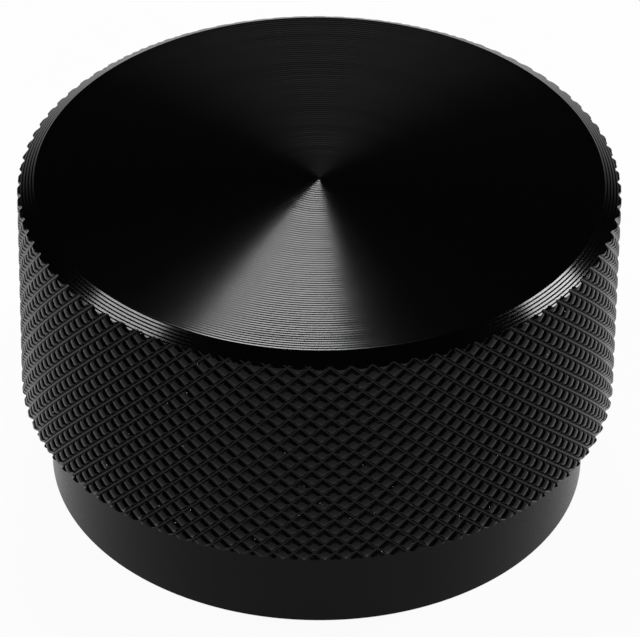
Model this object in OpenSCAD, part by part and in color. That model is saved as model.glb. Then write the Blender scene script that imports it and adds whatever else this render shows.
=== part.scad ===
// Turned cabinet knob: a diamond-knurled head standing on a smooth, smaller foot.
// One solid piece of bar stock. Millimetres, +Z up, the origin at the middle of the
// foot's underside, which is the face that goes against the drawer front.

/* [Head] */
// Outside diameter over the tops of the knurl
head_d = 50; // [44:0.5:56]
// Height of the whole knob, from the foot's underside to the flat top
knob_h = 28.8; // [24:0.1:32]
// How far in from the outside the bevel round the top reaches
bevel_w = 1.4; // [0.4:0.1:3]
// Slope of that bevel, measured from the flat top, in degrees
bevel_angle = 30; // [15:1:60]

/* [Knurl] */
// Grooves round the head that climb to the right
grooves_right = 94; // [90:1:104]
// Grooves round the head that climb to the left
grooves_left = 88; // [80:1:90]
// Depth of the grooves below the tops of the diamonds
knurl_depth = 0.4; // [0.2:0.05:0.7]
// Where one crossing of the grooves lies round the head, in degrees
knurl_turn = -1.25; // [-4:0.01:4]
// How high above the bottom of the knurl that crossing lies
knurl_rise = 0.98; // [0:0.01:2]
// Size of the break on the knurl's lower end
knurl_break = 0.1; // [0.1:0.05:0.8]

/* [Foot] */
// Height of the smooth foot below the knurl
foot_h = 8.4; // [5:0.1:12]
// How far the foot is set in from the outside of the head
foot_step = 2.45; // [1.5:0.05:6]
// Size of the broken edge round the foot's underside
foot_break = 0.1; // [0.1:0.05:1]

/* [Screw hole] */
// Diameter of the wall of the tapped hole: the tap drill of the thread
hole_d = 3.3; // [2.5:0.1:5]
// Depth of the hole's straight wall, without the drill's point
hole_depth = 12; // [8:0.5:16]
// Angle of the drill's point, in degrees
drill_point = 118; // [90:1:140]
// Width of the countersink's ring round the hole's mouth
sink_w = 0.55; // [0.2:0.05:1]

/* [Hidden] */

head_r = head_d / 2;
foot_r = head_r - foot_step;
bevel_h = bevel_w * tan(bevel_angle);
fine = 192; // steps of the turned surfaces

// The knurl is two sets of helical grooves that cross at right angles. Every groove of
// both sets is equally wide, so the two counts alone set the pitch and both helix angles.
// Corner (i, j) of the pattern counts half diamonds round the head and up it: where
// i + j is even two grooves cross, and where it is odd a diamond has its tip.
columns = grooves_right + grooves_left;
lead = grooves_right - grooves_left; // rows climbed in one turn round the head
weight = 2 * (pow(grooves_right, 2) + pow(grooves_left, 2));
row_h = PI * head_d * columns / weight; // height of half a diamond
lean_h = PI * head_d * lead / weight;   // what a row climbs from one column to the next
rows_below = ceil(knurl_rise / row_h) + 1; // so that the pattern runs past the head's lower end
rows = ceil((knob_h - foot_h - knurl_rise) / row_h + rows_below + 2.5); // corners in one column

function first_row(i) = -ceil(i * lead / columns) - rows_below;
function corner_r(i, j) = (i + j) % 2 == 0 ? head_r - knurl_depth : head_r;
function corner(i, j) =
    let (a = 360 * (i * columns - j * lead) / weight + knurl_turn, r = corner_r(i, j))
    [r * cos(a), r * sin(a), foot_h + knurl_rise + j * row_h + i * lean_h];
// Place of corner (i, j) in the list; one full turn brings column 0 back, lead rows up.
function place(i, j) =
    i < columns ? i * rows + j - first_row(i) : j + lead - first_row(0);

corners = [for (i = [0 : columns - 1]) for (k = [0 : rows - 1]) corner(i, first_row(i) + k)];
hub = len(corners); // the two middle points that close the ends of the knurled rod

// Each cell between four corners is folded along the groove that crosses it.
function cell(i, j) =
    let (a = place(i, j), b = place(i + 1, j), c = place(i + 1, j + 1), d = place(i, j + 1))
    (i + j) % 2 == 0 ? [[a, c, b], [a, d, c]] : [[a, d, b], [b, d, c]];
cells = [for (i = [0 : columns - 1])
    let (low = max(first_row(i), first_row(i + 1)),
         high = min(first_row(i), first_row(i + 1)) + rows - 2)
    for (j = [low : high]) each cell(i, j)];
// Where the next column starts a row lower, one triangle at each end fills the step.
steps = [for (i = [0 : columns - 1]) let (low = first_row(i), high = low + rows - 1)
    if (first_row(i + 1) < low) each [
        [place(i, low), place(i + 1, low), place(i + 1, low - 1)],
        [place(i, high), place(i + 1, high - 1), place(i, high - 1)]]];
bottom = [for (i = [0 : columns - 1])
    [place(i, first_row(i)), place(i + 1, first_row(i + 1)), hub]];
top = [for (i = [0 : columns - 1])
    [place(i + 1, first_row(i + 1) + rows - 1), place(i, first_row(i) + rows - 1), hub + 1]];

// A rod knurled along its whole length, longer than the head at both ends.
module knurled_rod() {
    polyhedron(
        points = concat(corners, [[0, 0, foot_h - 3 * row_h], [0, 0, knob_h + 3 * row_h]]),
        faces = concat(cells, steps, bottom, top));
}

// The turned outline that the knurled head is cut to, with the bevel and the lower break.
module head_outline() {
    clear = 1; // beyond the tops of the diamonds, so that only the slopes cut them
    rotate_extrude($fn = fine)
        polygon([
            [0, foot_h],
            [head_r - knurl_break, foot_h],
            [head_r + clear, foot_h + knurl_break + clear],
            [head_r + clear, knob_h - bevel_h - clear * tan(bevel_angle)],
            [head_r - bevel_w, knob_h],
            [0, knob_h]]);
}

// The foot, which reaches a little up into the head so that the two are one solid.
module foot() {
    rotate_extrude($fn = fine)
        polygon([
            [0, 0],
            [foot_r - foot_break, 0],
            [foot_r, foot_break],
            [foot_r, foot_h + knurl_break],
            [0, foot_h + knurl_break]]);
}

// The blind hole for the mounting screw, drilled up from the foot's underside.
module screw_hole() {
    hole_r = hole_d / 2;
    rotate_extrude($fn = 96)
        polygon([
            [0, -1],
            [hole_r + sink_w + 1, -1],
            [hole_r, sink_w],
            [hole_r, hole_depth],
            [0, hole_depth + hole_r / tan(drill_point / 2)]]);
}

module knob() {
    color("dimgray")
        difference() {
            union() {
                foot();
                intersection() {
                    knurled_rod();
                    head_outline();
                }
            }
            screw_hole();
        }
}

knob();
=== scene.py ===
# %% [markdown]
# # A knurled cabinet knob
# This lesson dresses one solid CAD part, a knob turned from a single bar of black anodised
# aluminium. The CAD model already has the true size, the bevel, the foot and the screw hole.
# Blender adds what makes the metal look real: the tool's marks on the turned faces, the flat tops
# and clean floors of the knurl, the thread in the hole, and the finish itself.

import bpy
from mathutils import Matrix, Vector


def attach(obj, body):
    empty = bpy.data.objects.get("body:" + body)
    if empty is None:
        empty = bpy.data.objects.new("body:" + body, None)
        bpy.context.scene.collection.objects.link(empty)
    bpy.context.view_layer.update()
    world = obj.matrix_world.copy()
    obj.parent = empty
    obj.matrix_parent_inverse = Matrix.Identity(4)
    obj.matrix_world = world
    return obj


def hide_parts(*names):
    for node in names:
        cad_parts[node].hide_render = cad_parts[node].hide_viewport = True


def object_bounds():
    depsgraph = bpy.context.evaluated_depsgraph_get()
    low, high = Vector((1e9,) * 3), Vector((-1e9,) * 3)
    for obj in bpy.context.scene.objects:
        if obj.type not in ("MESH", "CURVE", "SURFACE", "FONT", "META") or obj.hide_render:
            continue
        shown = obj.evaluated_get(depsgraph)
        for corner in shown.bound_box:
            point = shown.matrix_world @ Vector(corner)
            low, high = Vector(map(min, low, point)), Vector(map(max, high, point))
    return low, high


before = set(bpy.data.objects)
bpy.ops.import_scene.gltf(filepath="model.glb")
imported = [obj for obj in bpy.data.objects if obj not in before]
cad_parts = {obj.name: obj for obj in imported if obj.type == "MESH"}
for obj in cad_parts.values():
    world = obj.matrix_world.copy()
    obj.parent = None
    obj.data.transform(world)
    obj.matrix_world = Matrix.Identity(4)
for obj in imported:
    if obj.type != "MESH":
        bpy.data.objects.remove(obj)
cad_low, cad_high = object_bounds()
print("CAD box in metres:", list(cad_low), list(cad_high))

# %% [markdown]
# Everything below is in metres, in the CAD part's own frame: the origin is at the middle of the
# foot's underside and +Z points from the foot to the flat top. A workshop thinks in millimetres,
# so the sizes are written in millimetres and multiplied by one named value.

# %% Name the sizes that the whole knob shares
import math
import random

import bmesh
import bpy
from mathutils import Matrix, Vector

MM = 0.001
HEAD_RADIUS = 25.0 * MM
KNOB_HEIGHT = cad_high[2] - cad_low[2]
FOOT_HEIGHT = 8.4 * MM
FOOT_RADIUS = 22.55 * MM
BEVEL_WIDTH = 1.4 * MM
BEVEL_SLOPE = math.radians(30)
FLAT_RADIUS = HEAD_RADIUS - BEVEL_WIDTH
print("height", round(KNOB_HEIGHT / MM, 2), "mm, flat top", round(2 * FLAT_RADIUS / MM, 1), "mm across")

# %% [markdown]
# ## How the knob's mesh is made
# On the lathe the bar is first knurled, and then the face, the bevel and the foot are turned, so
# the tool cuts off the ends of the knurl. The mesh follows the same order. One closed mesh is a
# rod with the knurl on it, longer than the head. Another is the turned outline with the tool's
# marks. What is inside both of them is the knob. Modelling it as displacement would be shorter, but
# then the bevel couldn't cut the diamonds cleanly, and the cut ends are what catches the eye.
#
# Four finishes meet on the one mesh, so its faces carry a number that says which they have.

# %% Number the finishes
TURNED, KNURLED, SMOOTH, THREADED = range(4)
finish_names = ["turned_face", "knurl", "smooth_foot", "screw_thread"]
print("finishes:", finish_names)


# %% Turn a list of points and faces into an object
def mesh_object(name, points, faces, finishes):
    """A mesh object from corner points and faces, each face with the number of its finish."""
    mesh = bpy.data.meshes.new(name)
    mesh.from_pydata(points, [], faces)
    for finish in finish_names:
        mesh.materials.append(bpy.data.materials.get(finish) or bpy.data.materials.new(finish))
    mesh.polygons.foreach_set("material_index", finishes)
    mesh.update()
    made = bpy.data.objects.new(name, mesh)
    bpy.context.scene.collection.objects.link(made)
    print(name, "has", len(points), "points and", len(faces), "faces")
    return made


# %% [markdown]
# ## The knurl's pattern
# A knurl is rolled with two wheels. One leaves grooves that climb to the right, the other grooves
# that climb to the left, and here they cross at right angles. The two counts differ a little, so
# the rows of diamonds climb slightly round the head. A point of the pattern is given by two
# numbers, how many right-hand and how many left-hand grooves it is from the start, and a little
# linear algebra turns these into an angle and a height. With whole numbers for the counts the
# pattern closes on itself with no seam, which no repeating tile of an image could do.

# %% Place a point of the pattern on the head
RIGHT_GROOVES = 94
LEFT_GROOVES = 88
KNURL_TURN = math.radians(-1.25)
KNURL_START = FOOT_HEIGHT + 0.98 * MM
pattern_size = RIGHT_GROOVES**2 + LEFT_GROOVES**2
groove_pitch = 2 * math.pi * HEAD_RADIUS / math.sqrt(pattern_size)


def knurl_height(right, left):
    """How high above the foot's underside a point of the pattern lies."""
    climb = (RIGHT_GROOVES * left - LEFT_GROOVES * right) / pattern_size
    return KNURL_START + 2 * math.pi * HEAD_RADIUS * climb


def knurl_point(right, left, depth):
    """The point of the pattern, depth below the tops of the diamonds."""
    turns = (RIGHT_GROOVES * right + LEFT_GROOVES * left) / pattern_size
    angle = 2 * math.pi * turns + KNURL_TURN
    radius = HEAD_RADIUS - depth
    return (radius * math.cos(angle), radius * math.sin(angle), knurl_height(right, left))


def same_crossing(right, left):
    """One name for a crossing of grooves, however many times round the head it was counted."""
    laps = (RIGHT_GROOVES * right + LEFT_GROOVES * left) // pattern_size
    return right - laps * RIGHT_GROOVES, left - laps * LEFT_GROOVES


print("groove pitch", round(groove_pitch / MM, 3), "mm")

# %% [markdown]
# Between four crossings stands one diamond. The wheels leave a narrow floor in each groove and
# steep flanks, and press up a flat top that is rounded at its rim, most of all at its corners.
# Each diamond is built from few faces where it is flat and more where it bends: one face for a
# stretch of floor, three for a flank, and a grid of nine for the top with a point in its middle.
# The widths below are shares of the distance between two grooves, and the depths are in millimetres.

# %% Shape one diamond
FLOOR = 0.05
TOP = 0.22
ROUND = 0.08
GROOVE_DEPTH = 0.28 * MM
RIM_DROP = 0.05 * MM
CORNER_DROP = 1.7 * RIM_DROP
top_lines = (TOP, TOP + ROUND, 1 - TOP - ROUND, 1 - TOP)


def top_drop(column, row):
    """How far a corner of the top's grid lies below the highest level of the diamonds."""
    edges = (column in (0, 3)) + (row in (0, 3))
    return (0.0, RIM_DROP, CORNER_DROP)[edges]


def diamond_top(points, right, left):
    """Adds the points of one diamond's top, and tells the grid of its corners and its middle."""
    first = len(points)
    for row, up in enumerate(top_lines):
        for column, along in enumerate(top_lines):
            points.append(knurl_point(right + along, left + up, top_drop(column, row)))
    middle = len(points)
    points.append(knurl_point(right + 0.5, left + 0.5, 0.0))
    return [[first + 4 * row + column for column in range(4)] for row in range(4)], middle


def top_faces(grid, middle):
    """The eight faces round the edge of a top, and four triangles that meet in its middle."""
    faces = []
    for row in range(3):
        for column in range(3):
            quad = (grid[row][column], grid[row][column + 1])
            quad += (grid[row + 1][column + 1], grid[row + 1][column])
            if (row, column) == (1, 1):
                faces.extend((quad[k], quad[(k + 1) % 4], middle) for k in range(4))
            else:
                faces.append(quad)
    return faces


def flank_faces(base, grid):
    """Three faces for each of the four flanks, between the base's corners and the top's edges."""
    rims = (grid[0], [line[3] for line in grid], grid[3][::-1], [line[0] for line in grid][::-1])
    faces = []
    for side, rim in enumerate(rims):
        low, high = base[side], base[(side + 1) % 4]
        faces.append((low, rim[1], rim[0]))
        faces.append((low, high, rim[2], rim[1]))
        faces.append((high, rim[3], rim[2]))
    return faces


print("a diamond's top starts", round(TOP * groove_pitch / MM, 2), "mm from the middle of a groove")

# %% [markdown]
# The rod is longer than the head, so it has diamonds to spare past both ends, and a cone closes it
# at each end. Neighbours share the points of the floor between them. A crossing at the seam can be
# counted from either side, so each crossing gets one name, and its points are made once.

# %% Close the ends of a rod
LOWER_TIP = -0.10
UPPER_TIP = 0.07


def close_ends(points, faces):
    """Closes a tube of faces with a cone of triangles from each open edge to the axis."""
    open_edges = {}
    for face in faces:
        for here, there in zip(face, face[1:] + face[:1]):
            if open_edges.pop((there, here), None) is None:
                open_edges[(here, there)] = True
    lower_tip, upper_tip = len(points), len(points) + 1
    points.extend([(0.0, 0.0, LOWER_TIP), (0.0, 0.0, UPPER_TIP)])
    for here, there in open_edges:
        low_end = points[here][2] < KNOB_HEIGHT / 2
        faces.append((there, here, lower_tip if low_end else upper_tip))


print("the rod's cones end at", LOWER_TIP, "and", UPPER_TIP, "m")

# %% Set the diamonds round the rod
SPARE = 1.6 * groove_pitch


def diamonds_on_rod():
    """The pattern's places that get a diamond, each place once."""
    return [
        (right, left)
        for right in range(-2 * RIGHT_GROOVES, 2 * RIGHT_GROOVES)
        for left in range(-2 * LEFT_GROOVES, 2 * LEFT_GROOVES)
        if same_crossing(right, left) == (right, left)
        and FOOT_HEIGHT - SPARE < knurl_height(right + 0.5, left + 0.5) < KNOB_HEIGHT + SPARE
    ]


def knurled_rod():
    """A closed rod with diamonds all round it, reaching past both ends of the head."""
    points, faces, numbers = [], [], {}

    def floor_corner(right, left, side_r, side_l):
        crossing = same_crossing(right, left)
        name = (crossing, side_r, side_l)
        if name not in numbers:
            numbers[name] = len(points)
            spot = (crossing[0] + side_r * FLOOR, crossing[1] + side_l * FLOOR)
            points.append(knurl_point(*spot, GROOVE_DEPTH))
        return numbers[name]

    for right, left in diamonds_on_rod():
        sw = floor_corner(right, left, 1, 1)
        se = floor_corner(right + 1, left, -1, 1)
        ne = floor_corner(right + 1, left + 1, -1, -1)
        nw = floor_corner(right, left + 1, 1, -1)
        sw_left = floor_corner(right, left, -1, 1)
        sw_down = floor_corner(right, left, 1, -1)
        se_down = floor_corner(right + 1, left, -1, -1)
        nw_left = floor_corner(right, left + 1, -1, -1)
        start = floor_corner(right, left, -1, -1)
        faces.append((start, sw_down, sw, sw_left))
        faces.append((sw_down, se_down, se, sw))
        faces.append((sw_left, sw, nw, nw_left))
        grid, middle = diamond_top(points, right, left)
        faces.extend(top_faces(grid, middle))
        faces.extend(flank_faces((sw, se, ne, nw), grid))
    close_ends(points, faces)
    return mesh_object("knurled_rod", points, faces, [KNURLED] * len(faces))


rod = knurled_rod()

# %% [markdown]
# ## The turned outline
# A lathe tool leaves a fine scroll of marks, here about 0.3 mm apart, because its round nose moves
# on by that much at each turn. Every mark is a shallow trough with a sharp ridge between it and the
# next. These troughs, and not the colour, make the bright fan that a turned face shows under a
# lamp, so they are modelled, and only the finish inside one trough is left to the material. The
# nose stood a little askew, so the two sides of a trough differ. On the flat the side that leans
# outwards is short and steep, and on the bevel it is the longer and the shallower one. No two turns
# are cut equally deep, and a seeded random number gives each its own depth.

# %% Draw the tool's marks along a straight stretch
FACE_MARKS = 79
BEVEL_MARKS = 7
MARK_PITCH = FLAT_RADIUS / FACE_MARKS
FACE_DEPTH = 0.0235 * MM
FACE_LOWEST = 0.34
BEVEL_DEPTH = 0.0128 * MM
BEVEL_LOWEST = 0.55
DEPTH_SPREAD = 0.05
lathe = random.Random(7)


def tool_marks(start, direction, count, deepest, lowest):
    """Points of count troughs along the direction, their ridges on the straight line."""
    line = []
    for mark in range(count):
        depth = deepest * lathe.uniform(1 - DEPTH_SPREAD, 1 + DEPTH_SPREAD)
        for along, share in ((0.0, 0.0), (lowest, 1.0)):
            run = (mark + along) * MARK_PITCH
            line.append((
                start[0] + run * direction[0] + share * depth * direction[1],
                start[1] + run * direction[1] - share * depth * direction[0],
            ))
    return line


face_line = tool_marks((0.0, KNOB_HEIGHT), (1.0, 0.0), FACE_MARKS, FACE_DEPTH, FACE_LOWEST)
down_the_bevel = (math.cos(BEVEL_SLOPE), -math.sin(BEVEL_SLOPE))
bevel_line = tool_marks(
    (FLAT_RADIUS, KNOB_HEIGHT), down_the_bevel, BEVEL_MARKS, BEVEL_DEPTH, BEVEL_LOWEST)
print(FACE_MARKS, "marks on the flat,", BEVEL_MARKS, "on the bevel,", round(MARK_PITCH / MM, 3), "mm apart")

# %% [markdown]
# Below the bevel the outline drops outside the knurl, comes in under its broken lower edge to the
# shoulder, and goes down the smooth foot. On the underside it turns into the screw hole. Rings
# near the axis are short, so they need fewer points: each ring has 48, 96, 192 or 384, and where
# the number changes, triangles join the two.

# %% Walk down the outside of the knob
KNURL_BREAK = 0.1 * MM
FOOT_BREAK = 0.1 * MM
wall_top = bevel_line.pop()
side_line = [
    wall_top,
    (wall_top[0], FOOT_HEIGHT + KNURL_BREAK + wall_top[0] - HEAD_RADIUS),
    (HEAD_RADIUS - KNURL_BREAK, FOOT_HEIGHT),
    (FOOT_RADIUS, FOOT_HEIGHT),
    (FOOT_RADIUS, FOOT_BREAK),
    (FOOT_RADIUS - FOOT_BREAK, 0.0),
]
print("side outline in mm:", [(round(r / MM, 2), round(z / MM, 2)) for r, z in side_line])


# %% Cut the thread
HOLE_RADIUS = 1.65 * MM
THREAD_PITCH = 0.7 * MM
THREAD_HEIGHT = 0.36 * MM
THREAD_ROOT = 0.125
THREAD_FLANK = 0.25
SINK = 0.55 * MM
HOLE_DEPTH = 12.0 * MM
DRILL_POINT = math.radians(118)
THREAD_DEPTH = 10.2 * MM
THREAD_STEPS = 7
THREAD_POINTS = 48


def thread_radius(turn, height):
    """Radius of the hole's wall: an M4 thread that starts in the countersink and runs out below."""
    phase = (height / THREAD_PITCH - turn) % 1
    flank = (THREAD_ROOT / 2 + THREAD_FLANK - abs(phase - 0.5)) / THREAD_FLANK
    groove = min(max(flank, 0.0), 1.0)
    fade = min(max((THREAD_DEPTH - height) / THREAD_PITCH, 0.0), 1.0)
    return max(HOLE_RADIUS + THREAD_HEIGHT * groove * fade, HOLE_RADIUS + SINK - height)


thread_rows = int(THREAD_DEPTH / THREAD_PITCH * THREAD_STEPS)
thread_heights = [row * THREAD_PITCH / THREAD_STEPS for row in range(1, thread_rows + 1)]
print("thread rows:", thread_rows)


# %% Join ring to ring
FEWEST_POINTS = 48
SIDE_POINTS = 192
finer_rings = ((FLAT_RADIUS, 384), (12 * MM, SIDE_POINTS), (4.5 * MM, 96))


def ring_points(radius):
    """How many points a ring of that radius gets."""
    for least, count in finer_rings:
        if radius >= least:
            return count
    return FEWEST_POINTS


def join_rings(faces, inner, outer):
    """Faces between two rings; the finer ring has the same count or a whole number of times it."""
    few, many = (inner, outer) if len(inner) <= len(outer) else (outer, inner)
    ratio = len(many) // len(few)
    for k in range(len(few)):
        here, after = few[k], few[(k + 1) % len(few)]
        fine = [many[(k * ratio + j) % len(many)] for j in range(ratio + 1)]
        if ratio == 1:
            made = [(here, fine[0], fine[1], after)]
        else:
            half = ratio // 2
            made = [(here, fine[j], fine[j + 1]) for j in range(half)]
            made.append((here, fine[half], after))
            made += [(after, fine[j], fine[j + 1]) for j in range(half, ratio)]
        if few is outer:
            made = [face[::-1] for face in made]
        faces.extend(made)


print("rings have", FEWEST_POINTS, "to", finer_rings[0][1], "points")


# %% Spin the outline
def turned_outline():
    """The closed mesh that the lathe's tools, the drill and the tap leave of an endless bar."""
    points, faces, finishes = [], [], []

    def ring(radius_of, height, count):
        first = len(points)
        for k in range(count):
            angle = 2 * math.pi * k / count
            radius = radius_of(k / count)
            points.append((radius * math.cos(angle), radius * math.sin(angle), height))
        return list(range(first, first + count))

    def go_to(last, following, finish):
        join_rings(faces, last, following)
        finishes.extend([finish] * (len(faces) - len(finishes)))
        return following

    points.append((0.0, 0.0, KNOB_HEIGHT))
    last = ring(lambda turn: face_line[1][0], face_line[1][1], FEWEST_POINTS)
    faces.extend((0, last[k], last[(k + 1) % FEWEST_POINTS]) for k in range(FEWEST_POINTS))
    finishes.extend([TURNED] * FEWEST_POINTS)
    for radius, height in face_line[2:] + bevel_line:
        last = go_to(last, ring(lambda turn: radius, height, ring_points(radius)), TURNED)
    for number, (radius, height) in enumerate(side_line):
        finish = SMOOTH if number > 1 else TURNED
        last = go_to(last, ring(lambda turn: radius, height, SIDE_POINTS), finish)
    last = go_to(last, ring(lambda turn: HOLE_RADIUS + SINK, 0.0, THREAD_POINTS), SMOOTH)
    for height in thread_heights:
        last = go_to(
            last, ring(lambda turn: thread_radius(turn, height), height, THREAD_POINTS), THREADED)
    last = go_to(last, ring(lambda turn: HOLE_RADIUS, HOLE_DEPTH, THREAD_POINTS), THREADED)
    tip = len(points)
    points.append((0.0, 0.0, HOLE_DEPTH + HOLE_RADIUS / math.tan(DRILL_POINT / 2)))
    faces.extend((last[k], tip, last[(k + 1) % THREAD_POINTS]) for k in range(THREAD_POINTS))
    finishes.extend([THREADED] * THREAD_POINTS)
    return mesh_object("turned_outline", points, faces, finishes)


outline = turned_outline()

# %% [markdown]
# ## Cut the knob from the two
# The Boolean modifier's Manifold solver keeps what is inside both closed meshes. It is quick and
# exact, it leaves the faces it doesn't cut alone, and it keeps each face's finish number.

# %% Keep what is inside both meshes
cut = outline.modifiers.new("inside_the_knurled_rod", "BOOLEAN")
cut.operation = "INTERSECT"
cut.solver = "MANIFOLD"
cut.object = rod
cut.material_mode = "INDEX"
evaluated = outline.evaluated_get(bpy.context.evaluated_depsgraph_get())
cut_mesh = bpy.data.meshes.new_from_object(evaluated)
cut_mesh.name = "knurled_knob"
knob = bpy.data.objects.new("knurled_knob", cut_mesh)
bpy.context.scene.collection.objects.link(knob)
for used in (outline, rod):
    bpy.data.objects.remove(used)
knob.data.calc_loop_triangles()
print("knob:", len(knob.data.loop_triangles), "triangles,", len(knob.data.materials), "finishes")

# %% [markdown]
# Smooth shading would blur the ridges between the marks, and flat shading would show every facet
# of the round foot. So all faces are smooth, and an edge is marked sharp where the metal really
# turns a corner. A corner counts as sharp sooner on the turned faces than on the soft diamonds.

# %% Mark the sharp edges
STEEPEST_TOP = math.radians(42)
TURNED_CORNER = math.radians(6)


def is_flank(face):
    """Whether a face of the knurl is the side of a diamond, and not its top or a groove's floor."""
    middle = face.calc_center_median()
    outward = Vector((middle.x, middle.y, 0.0))
    return face.normal.angle(outward, math.pi) > STEEPEST_TOP


work = bmesh.new()
work.from_mesh(knob.data)
open_count = sum(not edge.is_manifold for edge in work.edges)
for face in work.faces:
    face.smooth = True
for edge in work.edges:
    if all(face.material_index == KNURLED for face in edge.link_faces):
        edge.smooth = not any(is_flank(face) for face in edge.link_faces)
    else:
        edge.smooth = edge.calc_face_angle(math.pi) < TURNED_CORNER
volume = work.calc_volume(signed=True)
work.to_mesh(knob.data)
work.free()
print("edges that aren't closed:", open_count, "volume", round(volume / (10 * MM) ** 3, 2), "cm3")

# %% [markdown]
# ## Put it in place of the CAD node
# The CAD part is one node, `knob`, and the real thing is one piece, so one object stands in for it.

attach(knob, "root")
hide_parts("knob")
print("knob stands in for the CAD node")

# %% [markdown]
# ## The finish
# Black anodising is a thin hard skin of oxide with dye in its pores. The dye swallows nearly all the
# light that gets in, so the base colour is almost black. What is seen is the gloss of the skin, and
# the dye in it makes that gloss weaker than that of clear oxide, which a low index of refraction
# stands for. The finishes differ only in how smooth they are: the freshly cut face is the smoothest,
# the rolled knurl and the foot are duller.
#
# No skin is perfectly even, so a fine grain moves the roughness up and down a little. The knurl also
# has a few nicks, no wider than a hair, where a rim was knocked and the pale metal shows. One node
# group makes both. All the finishes take the grain from it, and the knurl takes the nicks too.

# %% Start the group that all finishes share
GRAIN = 0.15 * MM
GRAIN_DETAIL = 2
GRAIN_SWING = 0.2
NOISE_RANGE = (0.3, 0.7)
NICK_SPACING = 1.3 * MM
BARE_METAL = (0.55, 0.55, 0.56, 1)

skin = bpy.data.node_groups.new("anodised_skin", "ShaderNodeTree")
for socket, kind in (("Smoothness", "Float"), ("Nick Radius", "Float"), ("Dye", "Color")):
    skin.interface.new_socket(socket, in_out="INPUT", socket_type="NodeSocket" + kind)
skin.interface.new_socket("Roughness", in_out="OUTPUT", socket_type="NodeSocketFloat")
skin.interface.new_socket("Color", in_out="OUTPUT", socket_type="NodeSocketColor")
nodes, links = skin.nodes, skin.links
given = nodes.new("NodeGroupInput")
result = nodes.new("NodeGroupOutput")
place = nodes.new("ShaderNodeTexCoord")
print("shared group:", skin.name)

# %% Let the grain move the roughness
noise = nodes.new("ShaderNodeTexNoise")
noise.inputs["Scale"].default_value = 1 / GRAIN
noise.inputs["Detail"].default_value = GRAIN_DETAIL
swing = nodes.new("ShaderNodeMapRange")
swing.inputs["From Min"].default_value = NOISE_RANGE[0]
swing.inputs["From Max"].default_value = NOISE_RANGE[1]
swing.inputs["To Min"].default_value = 1 - GRAIN_SWING
swing.inputs["To Max"].default_value = 1 + GRAIN_SWING
grained = nodes.new("ShaderNodeMath")
grained.operation = "MULTIPLY"
links.new(place.outputs["Object"], noise.inputs["Vector"])
links.new(noise.outputs[0], swing.inputs["Value"])
links.new(swing.outputs["Result"], grained.inputs[0])
links.new(given.outputs["Smoothness"], grained.inputs[1])
links.new(grained.outputs[0], result.inputs["Roughness"])
print("grain", round(GRAIN / MM, 2), "mm, swing of the roughness", GRAIN_SWING)

# %% Scatter the nicks
cells = nodes.new("ShaderNodeTexVoronoi")
cells.inputs["Scale"].default_value = 1 / NICK_SPACING
inside = nodes.new("ShaderNodeMath")
inside.operation = "LESS_THAN"
tint = nodes.new("ShaderNodeMix")
tint.data_type = "RGBA"
tint.inputs["B"].default_value = BARE_METAL
links.new(place.outputs["Object"], cells.inputs["Vector"])
links.new(cells.outputs["Distance"], inside.inputs[0])
links.new(given.outputs["Nick Radius"], inside.inputs[1])
links.new(inside.outputs[0], tint.inputs["Factor"])
links.new(given.outputs["Dye"], tint.inputs["A"])
links.new(tint.outputs["Result"], result.inputs["Color"])
print("nick centres", round(NICK_SPACING / MM, 1), "mm apart in the metal, so few lie at its surface")

# %% [markdown]
# The four materials differ in the roughness and in the strength of the gloss, which is a little
# weaker on the foot. The dye is the same colour all over, so it is set on the shader itself. Only
# on the knurl does the colour come from the group, because the nicks change it from place to place.

# %% Make the four finishes
DYE = (0.0010, 0.0010, 0.0011, 1)
skin_index_of = {TURNED: 1.22, KNURLED: 1.22, SMOOTH: 1.19, THREADED: 1.22}
NICK_RADIUS = 0.05 * MM
roughness_of = {TURNED: 0.14, KNURLED: 0.26, SMOOTH: 0.30, THREADED: 0.35}
for number, name in enumerate(finish_names):
    material = bpy.data.materials[name]
    material.use_nodes = True
    shader = material.node_tree.nodes["Principled BSDF"]
    shader.inputs["IOR"].default_value = skin_index_of[number]
    shader.inputs["Base Color"].default_value = DYE
    group = material.node_tree.nodes.new("ShaderNodeGroup")
    group.node_tree = skin
    group.inputs["Smoothness"].default_value = roughness_of[number]
    material.node_tree.links.new(group.outputs["Roughness"], shader.inputs["Roughness"])
    if number == KNURLED:
        group.inputs["Nick Radius"].default_value = NICK_RADIUS / NICK_SPACING
        group.inputs["Dye"].default_value = DYE
        material.node_tree.links.new(group.outputs["Color"], shader.inputs["Base Color"])
    print(name, "has roughness", roughness_of[number])

# %% [markdown]
# ## The floor
# The knob stands on a sheet of white paper that fills the view. The camera and the metal's gloss
# see the paper as plain white, which keeps it even right to the corners. A part of it still takes
# the light as paper does, and this part shows the knob's soft shadow. The sheet lies a fiftieth of a
# millimetre under the foot, so that no two faces share one plane.

# %% Lay the paper
PAPER_REACH = 3.0
PAPER_GAP = 0.02 * MM
WHITE_SHARE = 0.95
PAPER_COLOUR = (0.8, 0.8, 0.8, 1)
floor_mesh = bpy.data.meshes.new("floor")
floor_corners = [
    (x * PAPER_REACH, y * PAPER_REACH, cad_low[2] - PAPER_GAP)
    for x, y in ((-1, -1), (1, -1), (1, 1), (-1, 1))
]
floor_mesh.from_pydata(floor_corners, [], [(0, 1, 2, 3)])
floor = bpy.data.objects.new("floor", floor_mesh)
bpy.context.scene.collection.objects.link(floor)
print("paper", 2 * PAPER_REACH, "m across")


# %% Tell direct looks from lighting
def larger_of(nodes, links, first, second):
    """A node's output with the larger of two outputs."""
    larger = nodes.new("ShaderNodeMath")
    larger.operation = "MAXIMUM"
    links.new(first, larger.inputs[0])
    links.new(second, larger.inputs[1])
    return larger.outputs[0]


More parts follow.
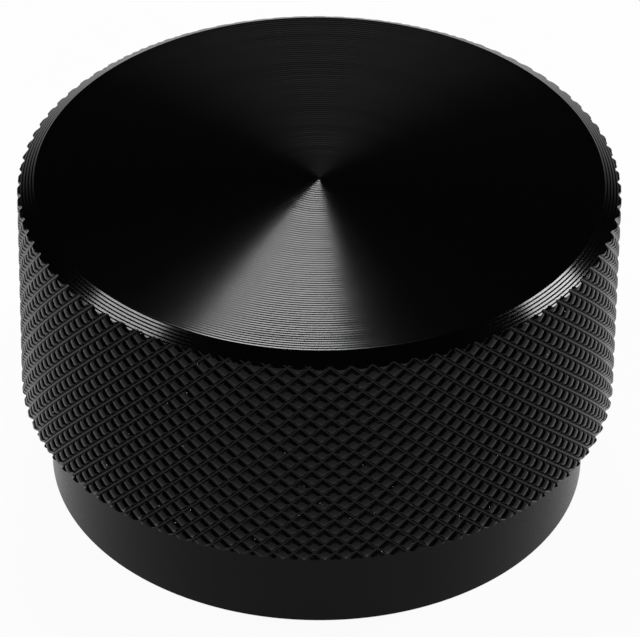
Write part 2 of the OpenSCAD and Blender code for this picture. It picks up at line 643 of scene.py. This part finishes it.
def seen_directly(nodes, links):
    """One where a ray comes from the camera, a gloss or through glass, and zero elsewhere."""
    rays = nodes.new("ShaderNodeLightPath").outputs
    looked_at = larger_of(nodes, links, rays["Is Camera Ray"], rays["Is Glossy Ray"])
    return larger_of(nodes, links, looked_at, rays["Is Transmission Ray"])


# %% Make the paper's material
paper = bpy.data.materials.new("white_paper")
paper.use_nodes = True
nodes, links = paper.node_tree.nodes, paper.node_tree.links
nodes.clear()
out = nodes.new("ShaderNodeOutputMaterial")
fibres = nodes.new("ShaderNodeBsdfDiffuse")
fibres.inputs["Color"].default_value = PAPER_COLOUR
white = nodes.new("ShaderNodeEmission")
share = nodes.new("ShaderNodeMath")
share.operation = "MULTIPLY"
share.inputs[1].default_value = WHITE_SHARE
mix = nodes.new("ShaderNodeMixShader")
links.new(seen_directly(nodes, links), share.inputs[0])
links.new(share.outputs[0], mix.inputs[0])
links.new(fibres.outputs[0], mix.inputs[1])
links.new(white.outputs[0], mix.inputs[2])
links.new(mix.outputs[0], out.inputs["Surface"])
floor.data.materials.append(paper)
print("paper: white share", WHITE_SHARE, "where it is looked at")

# %% [markdown]
# ## The camera
# The knob is seen from the front and from about 36 degrees above, through a long lens that stands
# half a metre away. So the top's ellipse is only a little larger than the foot's, and the sides
# lean in only slightly. The lens points a touch above the knob's middle, which is why the picture
# is turned and not shifted. Its length is worked out in pixels of the picture, and is then written
# in millimetres for a sensor that is 36 mm wide.

# %% Place the camera
PICTURE_WIDTH = 640
SENSOR_WIDTH = 36
FAR_LIMIT = 10
LENS_IN_PIXELS = 6120.4
VIEW_HEIGHT_ANGLE = math.radians(35.735)
VIEW_DISTANCE = 20.238 * HEAD_RADIUS
VIEW_ROLL = math.radians(-0.577)
VIEW_PITCH = math.radians(1.313)
VIEW_YAW = math.radians(0.018)

camera_data = bpy.data.cameras.new("camera")
camera_data.sensor_width = SENSOR_WIDTH
camera_data.lens = LENS_IN_PIXELS * SENSOR_WIDTH / PICTURE_WIDTH
camera_data.clip_end = FAR_LIMIT
camera = bpy.data.objects.new("camera", camera_data)
bpy.context.scene.collection.objects.link(camera)
bpy.context.scene.camera = camera
to_camera = Vector((0, -math.cos(VIEW_HEIGHT_ANGLE), math.sin(VIEW_HEIGHT_ANGLE)))
picture_up = Vector((0, math.sin(VIEW_HEIGHT_ANGLE), math.cos(VIEW_HEIGHT_ANGLE)))
level = Matrix((Vector((1, 0, 0)), picture_up, to_camera))
tilt = Matrix.Rotation(VIEW_ROLL, 3, "Z") @ Matrix.Rotation(VIEW_PITCH, 3, "X")
axes = (tilt @ Matrix.Rotation(VIEW_YAW, 3, "Y") @ level).transposed()
top_middle = Vector((0, 0, KNOB_HEIGHT))
camera.matrix_world = Matrix.Translation(top_middle + to_camera * VIEW_DISTANCE) @ axes.to_4x4()
print("lens", round(camera_data.lens), "mm,", round(VIEW_DISTANCE, 3), "m from the knob's top")

# %% [markdown]
# ## The lights
# A black gloss shows lamps and little else, so each lamp is put where one kind of cut surface
# mirrors it. The steep side of a mark on the flat top leans outwards by the angle worked out
# below. Round a ring these sides face every way, and only those near the front mirror the first
# lamp: that is the bright fan. The same sides of the bevel's marks lean further and mirror the
# other two lamps, as bright lines at the front left and the front right. A lamp's long side follows
# the mirrored direction as it moves round the ring, so its length sets how far the light reaches
# round the rim, and its narrow side keeps the total light on the knob at a plain level. That sweep
# is measured between two spots on the ring, ten degrees to either side.

# %% Find where a leaning face looks
face_lean = math.atan(FACE_DEPTH / (FACE_LOWEST * MARK_PITCH))
bevel_lean = BEVEL_SLOPE + math.atan(BEVEL_DEPTH / (BEVEL_LOWEST * MARK_PITCH))


def mirrored(azimuth, radius, lean):
    """A spot on top of the knob and the way the camera looks from a face there that leans so."""
    outward = Vector((math.cos(azimuth), math.sin(azimuth), 0.0))
    spot = outward * radius + top_middle
    facing = outward * math.sin(lean) + Vector((0, 0, math.cos(lean)))
    to_lens = (camera.matrix_world.translation - spot).normalized()
    return spot, 2 * facing.dot(to_lens) * facing - to_lens


print("marks lean", round(math.degrees(face_lean), 1), "and", round(math.degrees(bevel_lean), 1), "degrees")


# %% Hang the three lamps
RIM = HEAD_RADIUS - BEVEL_WIDTH / 2
STEP_ROUND_RING = 10


def softbox(name, azimuth, radius, lean, size, radiance):
    """A rectangular lamp, a metre from the faces in which the camera sees it, azimuth in degrees."""
    lamp = bpy.data.lights.new(name, "AREA")
    lamp.shape = "RECTANGLE"
    lamp.size, lamp.size_y = size
    lamp.energy = radiance * math.pi * size[0] * size[1]
    made = bpy.data.objects.new(name, lamp)
    bpy.context.scene.collection.objects.link(made)
    spot, away = mirrored(math.radians(azimuth), radius, lean)
    before = mirrored(math.radians(azimuth - STEP_ROUND_RING), radius, lean)[1]
    after = mirrored(math.radians(azimuth + STEP_ROUND_RING), radius, lean)[1]
    sweep = after - before
    long_side = (sweep - away * sweep.dot(away)).normalized()
    axes = Matrix((long_side, away.cross(long_side), away)).transposed()
    made.matrix_world = Matrix.Translation(spot + away) @ axes.to_4x4()
    made.visible_camera = False
    print(name, "hangs toward", [round(part, 2) for part in away])


softbox("fan_lamp", -100, FLAT_RADIUS / 2, face_lean, (0.22, 0.12), 47)
softbox("left_rim_lamp", -129.5, RIM, bevel_lean, (0.34, 0.075), 42)
softbox("right_rim_lamp", -38.5, RIM, bevel_lean, (0.30, 0.078), 63)

# %% [markdown]
# ## The studio
# Round the table the walls are white up to a little above the horizon, and the ceiling is dark.
# The metal's gloss shows just that: pale at the knob's far edges, black in the middle of its top.
# Every ray sees this same ramp, the camera's and the gloss's as well.

# %% Paint the walls
WALL_TOP = 0.30
CEILING = 0.005
world = bpy.data.worlds.new("studio")
bpy.context.scene.world = world
world.use_nodes = True
nodes, links = world.node_tree.nodes, world.node_tree.links
direction = nodes.new("ShaderNodeTexCoord")
split = nodes.new("ShaderNodeSeparateXYZ")
wall = nodes.new("ShaderNodeMapRange")
wall.interpolation_type = "SMOOTHSTEP"
wall.inputs["From Max"].default_value = WALL_TOP
wall.inputs["To Min"].default_value = 1.0
wall.inputs["To Max"].default_value = CEILING
links.new(direction.outputs["Generated"], split.inputs[0])
links.new(split.outputs["Z"], wall.inputs["Value"])
links.new(wall.outputs["Result"], nodes["Background"].inputs["Strength"])
nodes["Background"].inputs["Color"].default_value = (1, 1, 1, 1)
bpy.context.scene.view_settings.view_transform = "Standard"
print("walls are white up to", round(math.degrees(math.asin(WALL_TOP))), "degrees, then dark")
